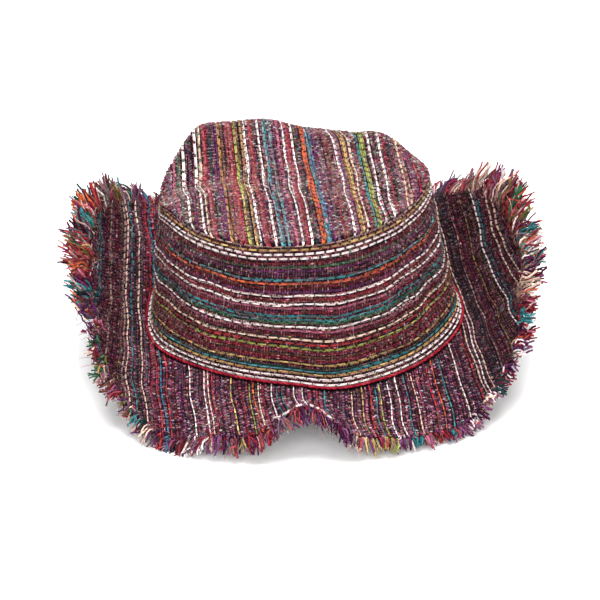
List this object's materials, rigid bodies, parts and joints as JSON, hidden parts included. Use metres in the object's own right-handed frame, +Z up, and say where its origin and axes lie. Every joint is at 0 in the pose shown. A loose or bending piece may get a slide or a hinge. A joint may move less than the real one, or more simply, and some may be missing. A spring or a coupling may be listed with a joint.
{
  "type": "sun hat",
  "caption": "Soft woven sun hat: shallow oval crown, wide brim curled up at both sides and folded up at the front, with a frayed fringe.",
  "frame": {"origin": "on the surface that the hat rests on, below the middle of the whole hat", "axes": "+Z up, the front of the hat towards -Y, +X to the right of someone who faces its front"},
  "size_m": [0.3024, 0.3574, 0.1258],
  "materials": {
    "tip_cloth": "hand-woven cotton, stripes of many colours running front to back",
    "side_cloth": "hand-woven cotton, stripes of many colours running round the crown",
    "red_piping": "twisted red cotton cord",
    "brim_cloth": "hand-woven cotton, stripes of many colours running front to back",
    "fringe_yarn": "frayed cotton yarn ends of many colours"
  },
  "bodies": {
    "root": {"crown_tip": "tip_cloth", "crown_side": "side_cloth", "base_piping": "red_piping", "brim": "brim_cloth", "brim_fringe": "fringe_yarn"}
  },
  "joints": []
}
